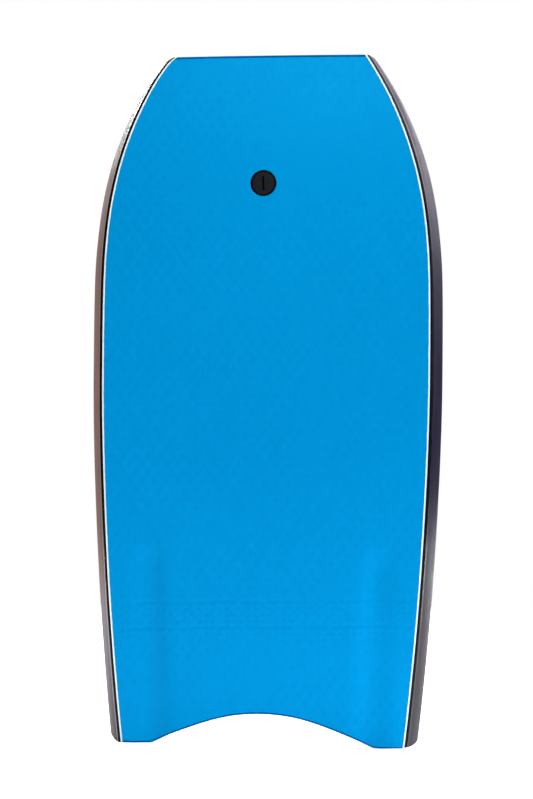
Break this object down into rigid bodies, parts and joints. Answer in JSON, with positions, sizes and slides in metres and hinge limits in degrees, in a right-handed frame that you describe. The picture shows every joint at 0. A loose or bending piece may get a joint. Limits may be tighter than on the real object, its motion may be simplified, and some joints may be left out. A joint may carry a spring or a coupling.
{
  "type": "bodyboard",
  "caption": "Prone foam surf board with a smooth slick underside, tail channels, crescent tail, black rails and a screwed leash plug.",
  "frame": {"origin": "on the centreline at the level of the tail pegs, half way through the thickest section (the board stands upright on its tail)", "axes": "+Z from tail to nose, +X to the right when looking at the slick, the slick (underside) faces -Y and the riding deck faces +Y"},
  "size_m": [0.5332, 0.0572, 1.041],
  "materials": {
    "slick_skin": "satin, diamond embossed",
    "rail_foam": "skinned closed-cell foam, satin",
    "deck_foam": "fine-grained closed-cell foam, matt",
    "pinline_white": "satin foam strip",
    "band_foam": "skinned foam, satin",
    "core_foam": "bead foam, matt",
    "laminate_foam": "dense foam, matt",
    "mesh_weave": "woven plastic mesh",
    "stringer": "smooth composite tube",
    "plug_plastic": "moulded, fine matt texture",
    "pin_steel": "plain stainless",
    "seal_rubber": "matt"
  },
  "bodies": {
    "board": {"foam_core": "core_foam", "reinforcement_mesh": "mesh_weave", "bottom_laminate": "laminate_foam", "slick_bottom": "slick_skin", "deck_skin": "deck_foam", "lower_rail_left": "rail_foam", "lower_rail_right": "rail_foam", "upper_rail_left": "rail_foam", "upper_rail_right": "rail_foam", "pinline_left": "pinline_white", "pinline_right": "pinline_white", "nose_band": "band_foam", "tail_band": "band_foam", "stringer_tube": "stringer", "stringer_cap_nose": "core_foam", "stringer_cap_tail": "core_foam", "plug_deck_body": "plug_plastic", "plug_leash_pin": "pin_steel", "plug_deck_gasket": "seal_rubber"},
    "plug_washer": {"plug_seal_ring": "seal_rubber"},
    "plug_slotted_half": {"plug_screw": "plug_plastic"}
  },
  "joints": [
    {"name": "plug_travel", "type": "slide", "parent": "board", "child": "plug_washer", "axis": [0, -1, 0], "range_m": [0, 0.015]},
    {"name": "plug_turn", "type": "hinge", "parent": "plug_washer", "child": "plug_slotted_half", "pos_m": [-0.0041, -0.0285, 0.8435], "axis": [0, -1, 0], "range_deg": [0, 1800]}
  ],
  "couplings": [
    {"joint": "plug_travel", "follows": "plug_turn", "m_per_rad": 0.00047746}
  ]
}
